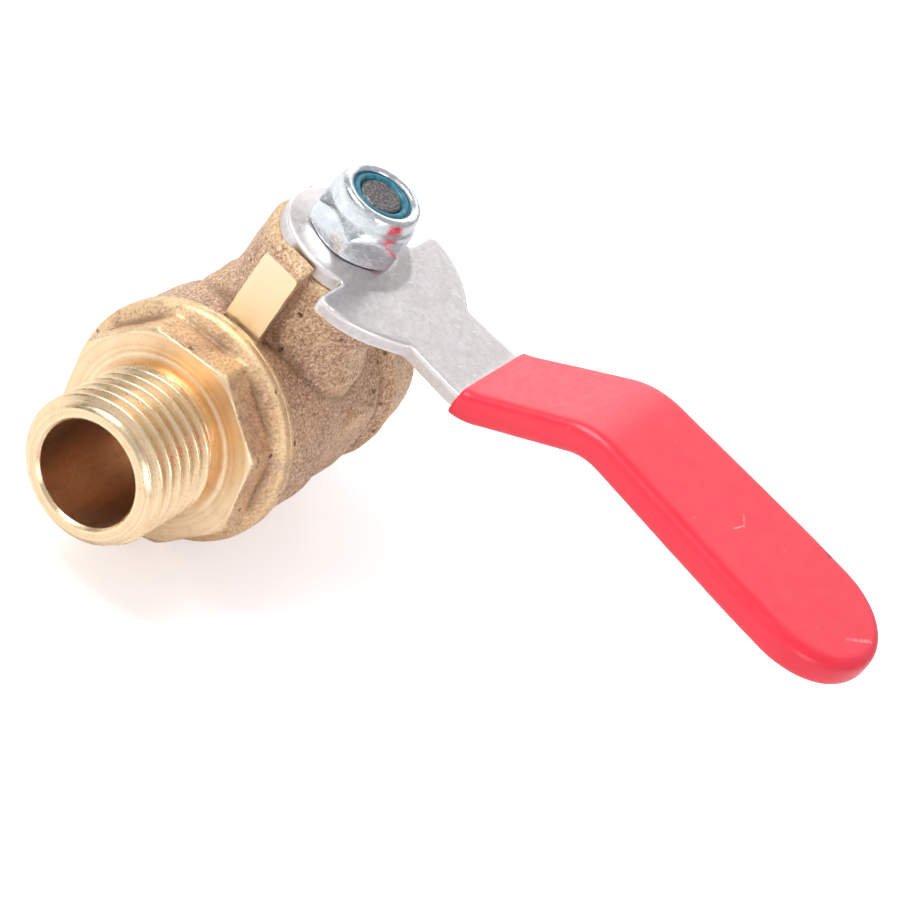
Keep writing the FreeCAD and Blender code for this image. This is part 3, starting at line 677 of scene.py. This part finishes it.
def cap_outline(theta):
    """Closed outline of the end cap: face, helical pipe thread, flats, flange, spigot and bore."""
    flats = flats_radius(theta, CAP_FLATS, ACROSS_FLATS, CAP_TURN)
    flats = soft_min(flats, np.full_like(theta, CAP_CORNER_R), 0.25)
    face_edge = soft_min(flats, np.full_like(theta, CAP_CHAMFER_R), 0.15) - 0.12
    chamfer_end = CAP_FACE_X + 0.15 + np.maximum(flats - CAP_CHAMFER_R, 0) * CAP_CHAMFER_SLOPE
    face_ring_r = PIPE_MAJOR_R - FACE_RING_W
    along = np.arange(MALE_FACE_X + 0.12, RELIEF_X, 0.045)[:, None] + 0 * theta
    thread = pipe_thread(along, theta, MALE_FACE_X + THREAD_RUN_IN, 0.11)
    thread = soft_min(thread, face_ring_r + (along - MALE_FACE_X), 0.12)
    thread = soft_min(thread, RELIEF_R + (RELIEF_X + 0.05 - along) * RELIEF_SLOPE, 0.10)
    return [
        (MALE_FACE_X, BORE_R + 0.28, 0.08, "turned"),
        (MALE_FACE_X, face_ring_r - 0.05, 0.12, "turned"),
        (np.stack([along, thread], -1), "turned"),
        (RELIEF_X + 0.1, RELIEF_R, 0.08, "faced"),
        (CAP_FACE_X - BOSS_HEIGHT, RELIEF_R, 0.06, "faced"),
        (CAP_FACE_X - BOSS_HEIGHT, BOSS_R, 0.12, "faced"),
        (CAP_FACE_X, BOSS_R + 0.25, 0.12, "faced"),
        (CAP_FACE_X, face_edge, 0.14, "faced"),
        (chamfer_end, flats, 0.20, "cast"),
        (CAP_FLATS_END_X, flats - 0.05, 0.35, "cast"),
        (SHOULDER_X, SHOULDER_R, 0.12, "rim"),
        (RIM_START_X, FLANGE_R, 0.20, "rim"),
        (RIM_GROOVE_X - RIM_GROOVE_HALF_W, FLANGE_R, 0.03, "rim"),
        (RIM_GROOVE_X, FLANGE_R - RIM_GROOVE_DEPTH, 0.03, "rim"),
        (RIM_GROOVE_X + RIM_GROOVE_HALF_W, FLANGE_R, 0.03, "rim"),
        (JOINT_FACE_X - RIM_BEVEL_W, FLANGE_R, 0.10, "rim"),
        (JOINT_FACE_X, FLANGE_R - RIM_BEVEL_DEPTH, 0.04, "rim"),
        *sharp(
            "bore", (JOINT_FACE_X, CLOSURE_R), (SPIGOT_END_X, CLOSURE_R), (SPIGOT_END_X, POCKET_R),
            (-SEAT_BACK_X, POCKET_R), (-SEAT_BACK_X, SEAT_BORE_R)),
        (-SEAT_BACK_X - 1.2, BORE_R, 0.2, "bore"),
        (MALE_FACE_X + 0.30, BORE_R, 0.10, "turned"),
    ]


def cap_wobble(along, radius, theta, tags):
    """Unevenness of the as-cast flats and rim."""
    share = np.array([CAP_LUMP_SHARE.get(tag, 0.0) for tag in tags])
    points = np.stack([along, radius * np.cos(theta), radius * np.sin(theta)], -1).reshape(-1, 3)
    lumps = lumps_at(points, CAP_LUMPS).reshape(radius.shape)
    return along, radius + lumps * share[:, None]


def end_cap():
    theta = full_circle(240)
    finishes = {"cast": CAP_SKIN, "turned": TURNED, "faced": FACED, "bore": BORE, "rim": RIM_SKIN}
    mesh = lathe_mesh(
        "end_cap_turned", cap_outline(theta), theta, "X", 0.22, list(finishes), cap_wobble)
    shade(mesh, 40)
    store_relief(mesh, "fine_relief", 8, 0.05)
    store_relief(mesh, "hollow", 60, 0.30)
    stand_in("end_cap_turned", mesh, finishes.values(), "end_cap", "valve_body")


# Body ---------------------------------------------------------------------------------------

VOXEL = 0.20
BODY_LUMPS = ((0.045, 0.35, 3), (0.04, 1.1, 4), (0.015, 2.6, 5))
STEM_BORE_R = 3.0
COUNTERBORE_R = 3.96
COUNTERBORE_TOP_Z = 8.8
STOP_ROOT_Z = 9.0
STOP_CUT_LOW_Z = 10.2
STOP_LEAN = 0.045
MILL_SPARE = 0.9
FACING_SPARE = 0.5
PORT_CHAMFER_R = PIPE_MAJOR_R + 0.3
FAR = 40.0
# The cutters are rings, so they stop this close to their axis
AXIS_R = 0.02


def add_cylinder(work, radius, low, high, axis):
    """Closed cylinder along X or Z between two places, added to a bmesh."""
    turn = Matrix.Rotation(math.radians(90), 4, "Y") if axis == "X" else Matrix.Identity(4)
    middle = (low + high) / 2
    shift = Vector((middle, 0, 0)) if axis == "X" else Vector((0, 0, middle))
    bmesh.ops.create_cone(
        work, cap_ends=True, segments=96, radius1=radius, radius2=radius, depth=high - low,
        matrix=Matrix.Translation(shift) @ turn)


def cad_copy(node):
    """Bmesh of a CAD node in mm about the ball's centre."""
    work = bmesh.new()
    work.from_mesh(frame["nodes"][node].data)
    bmesh.ops.remove_doubles(work, verts=work.verts, dist=1e-7)
    work.transform(Matrix.Scale(1 / MM, 4) @ Matrix.Translation(-PIVOT))
    return work


def remeshed(work, name, voxel):
    """Even mesh over everything in a bmesh, as one skin."""
    mesh = bpy.data.meshes.new(name)
    work.to_mesh(mesh)
    work.free()
    source = bpy.data.objects.new(name, mesh)
    bpy.context.scene.collection.objects.link(source)
    modifier = source.modifiers.new("even", "REMESH")
    modifier.mode = "VOXEL"
    modifier.voxel_size = voxel
    view = bpy.context.evaluated_depsgraph_get()
    result = bpy.data.meshes.new_from_object(source.evaluated_get(view))
    bpy.data.objects.remove(source)
    return result


def cut_away(mesh, cutters):
    """Mesh less each cutter mesh."""
    host = bpy.data.objects.new("casting_blank", mesh)
    bpy.context.scene.collection.objects.link(host)
    helpers = []
    for number, cutter in enumerate(cutters):
        tool = bpy.data.objects.new(f"cutter_{number}", cutter)
        bpy.context.scene.collection.objects.link(tool)
        modifier = host.modifiers.new(f"cut_{number}", "BOOLEAN")
        modifier.operation = "DIFFERENCE"
        modifier.solver = "MANIFOLD"
        modifier.object = tool
        helpers.append(tool)
    view = bpy.context.evaluated_depsgraph_get()
    result = bpy.data.meshes.new_from_object(host.evaluated_get(view))
    result.materials.clear()
    for thing in (host, *helpers):
        bpy.data.objects.remove(thing)
    return result


def body_blank():
    """The casting before machining: bores plugged, soft and lumpy, proud where faces get cut."""
    work = cad_copy("body")
    add_cylinder(work, CLOSURE_R + 0.3, JOINT_FACE_X + 0.01, SPIGOT_END_X + 1, "X")
    add_cylinder(work, PIPE_MAJOR_R + 0.6, JOINT_FACE_X + 0.01, FEMALE_FACE_X - 0.01, "X")
    add_cylinder(work, COUNTERBORE_R + 0.34, 0, TOWER_TOP_Z - 0.01, "Z")
    mesh = remeshed(work, "casting", VOXEL)
    points = softened(mesh, 4, BODY_LUMPS)
    stop_face = (points[:, 0] < FRONT_STOP_FACE_X + 0.6) & (points[:, 2] > STOP_ROOT_Z)
    points[stop_face, 1] -= STOP_LEAN * (STOP_TOP_Z - 1 - points[stop_face, 2])
    points[stop_face, 0] -= MILL_SPARE
    points[:, 0] -= FACING_SPARE * (points[:, 0] < JOINT_FACE_X + 0.5)
    set_points(mesh, points)
    return mesh


def box_mesh(low, high):
    """Box between two corners, to cut with."""
    work = bmesh.new()
    size = Vector(high) - Vector(low)
    middle = (Vector(high) + Vector(low)) / 2
    place = Matrix.Translation(middle) @ Matrix.Diagonal((*size, 1))
    bmesh.ops.create_cube(work, size=1.0, matrix=place)
    mesh = bpy.data.meshes.new("cutter_box")
    work.to_mesh(mesh)
    work.free()
    return mesh


def passage_cutter():
    """Everything turned out of the body along the flow, as one solid.

    Its thread is a helix wound the opposite way from the male one.
    """
    theta = full_circle(160)
    thread_low = SEAT_BACK_X + 0.9
    along = np.arange(thread_low, FEMALE_FACE_X - 0.5, 0.06)[:, None] + 0 * theta
    wall = pipe_thread(along, -theta, thread_low, 0.12)
    wall = -soft_min(-wall, -(PORT_CHAMFER_R - (FEMALE_FACE_X - along)), 0.1)
    wall = np.minimum(wall, PORT_CHAMFER_R)
    outline = [
        *sharp(
            "cut", (JOINT_FACE_X - 4, AXIS_R), (JOINT_FACE_X - 4, CLOSURE_R + 0.04),
            (SPIGOT_END_X + 0.45, CLOSURE_R + 0.04), (SPIGOT_END_X + 0.45, CAVITY_R),
            (4.2, CAVITY_R), (4.2, POCKET_R), (SEAT_BACK_X + 0.05, POCKET_R),
            (SEAT_BACK_X + 0.05, SEAT_BORE_R), (thread_low - 0.3, SEAT_BORE_R),
            (thread_low - 0.02, PIPE_MINOR_R)),
        (np.stack([along, wall], -1), "cut"),
        *sharp("cut", (FEMALE_FACE_X + 2, PORT_CHAMFER_R), (FEMALE_FACE_X + 2, AXIS_R)),
    ]
    return lathe_mesh("cutter_passage", outline, theta, "X", 1.0, ["cut"])


def stem_cutter():
    """The stem's bore and the wider counterbore under it, as one solid."""
    outline = sharp(
        "cut", (0, AXIS_R), (0, COUNTERBORE_R), (COUNTERBORE_TOP_Z, COUNTERBORE_R),
        (COUNTERBORE_TOP_Z, STEM_BORE_R), (TOWER_TOP_Z + 2, STEM_BORE_R), (TOWER_TOP_Z + 2, AXIS_R))
    return lathe_mesh("cutter_stem", outline, full_circle(96), "Z", 1.0, ["cut"])


def body():
    """Casting with its machined faces: joint face, stop face, top of the tower, female port."""
    cutters = [
        passage_cutter(),
        stem_cutter(),
        box_mesh((-FAR, -FAR, -FAR), (JOINT_FACE_X, FAR, FAR)),
        box_mesh((FEMALE_FACE_X, -FAR, -FAR), (FAR, FAR, FAR)),
        box_mesh((-FAR, -FAR, STOP_CUT_LOW_Z), (FRONT_STOP_FACE_X, FAR, FAR)),
        box_mesh((-FAR, -FAR, STOP_TOP_Z), (FAR, FAR, FAR)),
    ]
    mesh = cut_away(body_blank(), cutters)
    clean(mesh, 1e-4)
    paint_machined(mesh)
    shade(mesh, 40)
    store_relief(mesh, "fine_relief", 8, 0.03)
    store_relief(mesh, "hollow", 90, 0.30)
    stand_in("body_casting", mesh, [BODY_SKIN, FACED, BORE, MILLED], "body", "valve_body")


def paint_machined(mesh):
    """Gives the machined faces their own materials: 1 faced, 2 bore, 3 milled."""
    for face in mesh.polygons:
        x, y, z = face.center
        from_flow = math.hypot(y, z)
        flat_x = abs(face.normal.x) > 0.999
        on_stop = flat_x and abs(x - FRONT_STOP_FACE_X) < 0.01 and z > STOP_ROOT_Z
        on_joint = flat_x and abs(x - JOINT_FACE_X) < 0.01
        on_mouth = flat_x and abs(x - FEMALE_FACE_X) < 0.01
        in_port = from_flow < PORT_CHAMFER_R + 0.02 and x > SEAT_BACK_X + 0.4
        if on_stop:
            face.material_index = 3
        elif on_mouth or in_port or on_joint:
            face.material_index = 1
        elif from_flow < CLOSURE_R + 0.1:
            face.material_index = 2


# Lever --------------------------------------------------------------------------------------

PLATE_LUMPS = ((0.02, 0.3, 6), (0.008, 1.4, 7))
SLEEVE_LUMPS = ((0.03, 0.12, 8), (0.012, 0.6, 9))


def lever_plate():
    """Pressed plate: softened edges, a slightly uneven skin."""
    mesh = remeshed(cad_copy("handle_plate"), "lever_plate", 0.14)
    softened(mesh, 5, PLATE_LUMPS)
    mesh.shade_smooth()
    store_relief(mesh, "fine_relief", 5, 0.02)
    stand_in("lever_plate", mesh, [STEEL], "handle_plate", "lever")


def lever_sleeve():
    """Dipped sleeve: the CAD sleeve with every edge run soft and a faint unevenness."""
    mesh = remeshed(cad_copy("handle_sleeve"), "lever_sleeve", 0.16)
    softened(mesh, 14, SLEEVE_LUMPS)
    mesh.shade_smooth()
    stand_in("lever_sleeve", mesh, [VINYL], "handle_sleeve", "lever")


# Lock nut -----------------------------------------------------------------------------------

NUT_AF = 8.0
NUT_TURN = 14.0
NUT_CORNER_R = 4.55
NUT_SEAT_R = 3.95
NUT_HEX_TOP_Z = 22.2
NUT_COLLAR_R = 3.76
NUT_LIP_R = 2.66
NUT_BORE_R = 2.56
RING_R = 3.2
RING_BORE_R = 1.90


def lock_nut():
    """Hexagon with domed chamfers, running into a crimped collar."""
    theta = full_circle(288)
    hexagon = flats_radius(theta, 6, NUT_AF, NUT_TURN)
    hexagon = soft_min(hexagon, np.full_like(theta, NUT_CORNER_R), 0.12)
    seat = soft_min(hexagon, np.full_like(theta, NUT_SEAT_R), 0.1)
    past_seat = np.maximum(hexagon - NUT_SEAT_R, 0)
    outline = [
        (NUT_LOW_Z, 2.6, 0.1, "zinc"),
        (NUT_LOW_Z, seat, 0.08, "zinc"),
        (NUT_LOW_Z + 0.03 + past_seat * 0.55, hexagon, 0.12, "zinc"),
        (NUT_HEX_TOP_Z - 0.35 - past_seat * 1.1, hexagon, 0.25, "zinc"),
        (NUT_HEX_TOP_Z + 0.05, NUT_COLLAR_R + 0.04, 0.25, "zinc"),
        (NUT_TOP_Z - 0.95, NUT_COLLAR_R, 0.35, "zinc"),
        (NUT_TOP_Z - 0.12, NUT_COLLAR_R - 0.22, 0.30, "zinc"),
        (NUT_TOP_Z, NUT_COLLAR_R - 0.62, 0.22, "zinc"),
        (NUT_TOP_Z - 0.10, NUT_LIP_R + 0.12, 0.12, "zinc"),
        (NUT_TOP_Z - 0.38, NUT_LIP_R, 0.08, "zinc"),
        *sharp(
            "zinc", (INSERT_TOP_Z, NUT_LIP_R + 0.2), (INSERT_TOP_Z, RING_R), (INSERT_LOW_Z, RING_R),
            (INSERT_LOW_Z, NUT_BORE_R), (NUT_LOW_Z + 0.3, NUT_BORE_R)),
    ]
    mesh = lathe_mesh("lock_nut_zinc", outline, theta, "Z", 0.16, ["zinc"])
    shade(mesh, 50)
    stand_in("lock_nut_zinc", mesh, [ZINC], "lock_nut", "lever")


def nylon_ring():
    """Nylon ring that bulges at the collar's mouth round the stem."""
    theta = full_circle(96)
    swell = 0.03 * np.sin(3 * theta + 0.7) + 0.02 * np.sin(7 * theta)
    outline = [
        *sharp(
            "nylon", (INSERT_LOW_Z, RING_BORE_R), (INSERT_LOW_Z, RING_R - 0.02),
            (INSERT_TOP_Z - 0.02, RING_R - 0.02)),
        (INSERT_TOP_Z - 0.02, 2.55, 0.05, "nylon"),
        (NUT_TOP_Z - 0.22 + swell, 2.42, 0.18, "nylon"),
        (NUT_TOP_Z - 0.24 + swell, 2.10, 0.15, "nylon"),
        (INSERT_TOP_Z - 0.15, RING_BORE_R, 0.08, "nylon"),
    ]
    mesh = lathe_mesh("lock_ring_nylon", outline, theta, "Z", 0.15, ["nylon"])
    shade(mesh, 50)
    stand_in("lock_ring_nylon", mesh, [NYLON], "nylon_insert", "lever")


# Carried-over pieces ------------------------------------------------------------------------

def finish_cad_nodes():
    """Materials for the CAD nodes that stay as they are."""
    finishes = {
        "ball": ball_chrome(), "stem": stem_steel(), "stem_rings": ring_rubber(),
    }
    ptfe = seat_ptfe()
    for node in ("seat_inlet", "seat_outlet", "body_seal", "thrust_washer"):
        finishes[node] = ptfe
    for node, finish in finishes.items():
        thing = frame["nodes"][node]
        thing.data.materials.clear()
        thing.data.materials.append(finish)


# Stage --------------------------------------------------------------------------------------

FLOOR_HALF = 3.0
FLOOR_GAP_MM = 0.05
FLOOR_GLOW = 0.45


def floor():
    """Pale floor just under the valve; it glows a little, but only as the camera sees it."""
    low = cad_box[0][2] - FLOOR_GAP_MM * MM
    mesh = bpy.data.meshes.new("floor")
    corners = [(x * FLOOR_HALF, y * FLOOR_HALF, low) for x, y in ((-1, -1), (1, -1), (1, 1), (-1, 1))]
    mesh.from_pydata(corners, [], [(0, 1, 2, 3)])
    f = Finish("floor_white")
    tone = f.noise(0.02, 2)
    seen = f.tree.nodes.new("ShaderNodeLightPath").outputs["Is Camera Ray"]
    f.set(
        Base_Color=f.mix(tone, (0.93, 0.93, 0.93), (0.95, 0.95, 0.95)), Roughness=0.9,
        Emission_Color=(1.0, 1.0, 1.0), Emission_Strength=f.maths("MULTIPLY", seen, FLOOR_GLOW))
    mesh.materials.append(f.material)
    thing = bpy.data.objects.new("floor", mesh)
    bpy.context.scene.collection.objects.link(thing)


def soft_light(name, direction, distance, size, power):
    """Soft light aimed at the ball from a direction; distance and size in m, power in W."""
    lamp = bpy.data.lights.new(name, "AREA")
    lamp.shape = "RECTANGLE"
    lamp.size, lamp.size_y = size
    lamp.energy = power
    thing = bpy.data.objects.new(name, lamp)
    way = Vector(direction).normalized()
    thing.location = PIVOT + way * distance
    thing.rotation_euler = way.to_track_quat("Z", "Y").to_euler()
    bpy.context.scene.collection.objects.link(thing)


TENT_GREY = 0.50
# Patches of the tent: direction, radii in degrees of its even middle and of its edge, brightness added
TENT_PATCHES = (
    ((0.8, 0.6, 0.05), 15, 40, 1.15),
    ((-1.0, 0.2, 0.1), 20, 50, 0.25),
    ((-0.6, 0.75, 0.0), 10, 35, -0.35),
)


def tent():
    """World light: an even grey tent with a few broad patches, brighter or darker."""
    world = bpy.data.worlds.new("tent")
    bpy.context.scene.world = world
    world.use_nodes = True
    nodes, links = world.node_tree.nodes, world.node_tree.links
    way = nodes.new("ShaderNodeTexCoord").outputs["Generated"]
    total = TENT_GREY
    for direction, inner, outer, added in TENT_PATCHES:
        facing = nodes.new("ShaderNodeVectorMath")
        facing.operation = "DOT_PRODUCT"
        facing.inputs[1].default_value = Vector(direction).normalized()
        links.new(way, facing.inputs[0])
        patch = nodes.new("ShaderNodeMapRange")
        patch.interpolation_type = "SMOOTHSTEP"
        links.new(facing.outputs["Value"], patch.inputs[0])
        patch.inputs[1].default_value = math.cos(math.radians(outer))
        patch.inputs[2].default_value = math.cos(math.radians(inner))
        patch.inputs[4].default_value = added
        together = nodes.new("ShaderNodeMath")
        together.operation = "ADD"
        if isinstance(total, float):
            together.inputs[0].default_value = total
        else:
            links.new(total, together.inputs[0])
        links.new(patch.outputs[0], together.inputs[1])
        total = together.outputs[0]
    links.new(total, nodes["Background"].inputs["Strength"])
    nodes["Background"].inputs["Color"].default_value = (1, 1, 1, 1)


def lighting():
    tent()
    soft_light("key", (-0.3, 0.5, 0.8), 0.45, (0.26, 0.26), 1.5)
    soft_light("far", (0.8, 0.17, 0.57), 0.50, (0.36, 0.07), 0.13)
    soft_light("side", (-0.8, -1.0, 0.45), 0.5, (0.20, 0.20), 0.40)


# Camera: the view direction as azimuth and elevation, the roll about it, and the distance in mm
VIEW_AZIMUTH = -78.4
VIEW_ELEVATION = 35.02
VIEW_ROLL = 38.06
CAMERA_FROM_PIVOT = Vector((-297.53, -78.55, 223.27))
LENS_MM = 180.0


def camera():
    a, e = math.radians(VIEW_AZIMUTH), math.radians(VIEW_ELEVATION)
    back = Vector((math.sin(a) * math.cos(e), -math.cos(a) * math.cos(e), math.sin(e)))
    right = Vector((0, 0, 1)).cross(back).normalized()
    up = back.cross(right)
    roll = math.radians(VIEW_ROLL)
    turned_right = right * math.cos(roll) + up * math.sin(roll)
    turned_up = back.cross(turned_right)
    data = bpy.data.cameras.new("camera")
    data.lens = LENS_MM
    data.sensor_width = 36.0
    data.clip_start = 0.01
    thing = bpy.data.objects.new("camera", data)
    thing.matrix_world = Matrix.Translation(PIVOT + CAMERA_FROM_PIVOT * MM) @ Matrix(
        (turned_right, turned_up, back)).transposed().to_4x4()
    bpy.context.scene.collection.objects.link(thing)
    bpy.context.scene.camera = thing


end_cap()
body()
lever_plate()
lever_sleeve()
lock_nut()
nylon_ring()
finish_cad_nodes()
floor()
lighting()
camera()
bpy.context.scene.view_settings.view_transform = "Standard"
